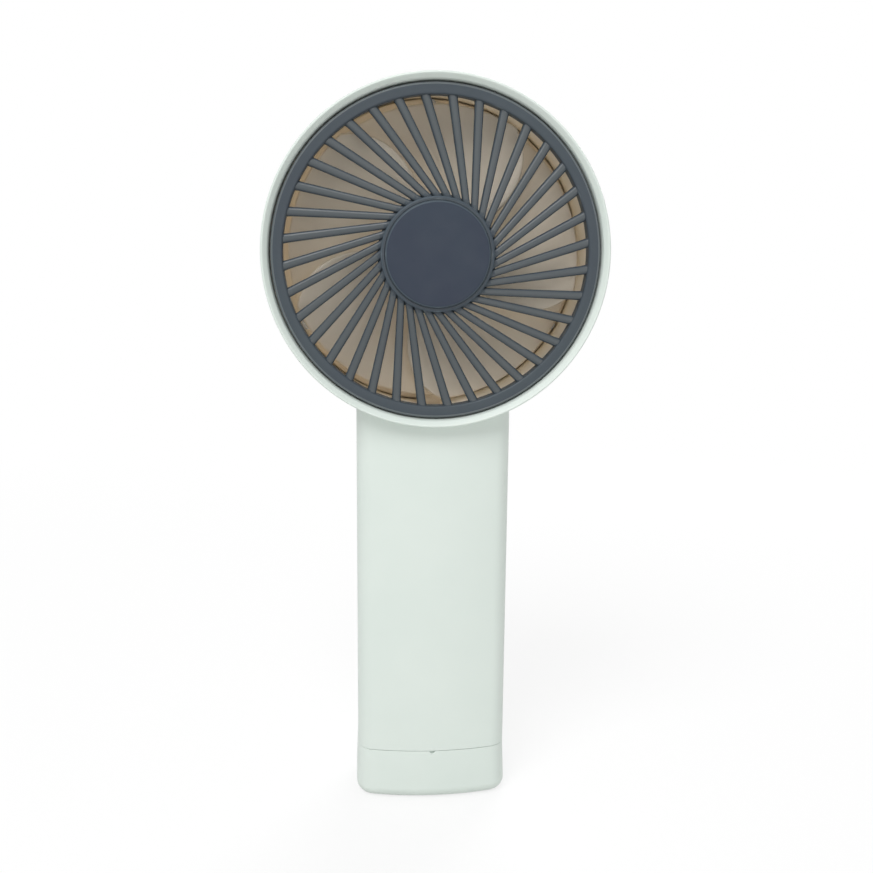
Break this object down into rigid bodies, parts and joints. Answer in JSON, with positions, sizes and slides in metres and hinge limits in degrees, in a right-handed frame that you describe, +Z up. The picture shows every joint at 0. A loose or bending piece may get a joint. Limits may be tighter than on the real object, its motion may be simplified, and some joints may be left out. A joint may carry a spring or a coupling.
{
  "type": "hand-held mini fan",
  "caption": "Hand-held rechargeable mini fan: round drum head with a swirl grille, spinning impeller, flat rounded handle with a press button and socket, and a pull-off base cap.",
  "frame": {"origin": "middle of the flat underside of the base cap, straight below the head's axis", "axes": "+Z up along the handle, -Y out of the front grille (the way the air leaves), +X to the right seen from the front"},
  "size_m": [0.086, 0.0356, 0.19],
  "materials": {
    "shell_white": "satin moulded, pale mint white",
    "slate_grey": "satin moulded, slate grey",
    "sand_plastic": "semi-gloss, warm beige",
    "steel": "bright",
    "black_plastic": "matte",
    "bronze": "sintered",
    "copper": "bare copper",
    "ferrite": "matte ceramic",
    "battery_foil": "foil pouch",
    "foam": "open foam",
    "board_green": "solder mask",
    "ivory_plastic": "satin",
    "led_lens": "clear",
    "clear_plastic": "clear",
    "red_insulation": "matte",
    "black_insulation": "matte"
  },
  "bodies": {
    "fan_body": {"head_barrel": "shell_white", "front_grille": "slate_grey", "hub_cap": "slate_grey", "rear_guard": "shell_white", "guard_screws": "steel", "motor_can": "steel", "motor_end_bell": "black_plastic", "motor_magnets": "ferrite", "front_bushing": "bronze", "rear_bushing": "bronze", "motor_brushes": "black_plastic", "handle_front_shell": "shell_white", "handle_rear_shell": "shell_white", "handle_screws": "steel", "battery": "battery_foil", "battery_pad": "foam", "circuit_board": "board_green", "board_screws": "steel", "board_chips": "black_plastic", "usb_shell": "steel", "usb_tongue": "black_plastic", "switch_body": "black_plastic", "charge_led": "led_lens", "light_pipe": "clear_plastic", "motor_lead_red": "red_insulation", "motor_lead_black": "black_insulation", "battery_lead_red": "red_insulation", "battery_lead_black": "black_insulation"},
    "rotor": {"impeller": "sand_plastic", "motor_shaft": "steel", "armature_core": "steel", "armature_windings": "copper", "commutator": "copper"},
    "button": {"power_button": "slate_grey", "switch_plunger": "ivory_plastic"},
    "cap": {"base_cap": "shell_white"}
  },
  "joints": [
    {"name": "impeller_spin", "type": "hinge", "parent": "fan_body", "child": "rotor", "pos_m": [0, 0, 0.147], "axis": [0, -1, 0], "continuous": true},
    {"name": "button_press", "type": "slide", "parent": "fan_body", "child": "button", "axis": [0, -1, 0], "range_m": [0, 0.0006], "stiffness_N_per_m": 900},
    {"name": "cap_pull", "type": "slide", "parent": "fan_body", "child": "cap", "axis": [0, 0, -1], "range_m": [0, 0.012]}
  ]
}
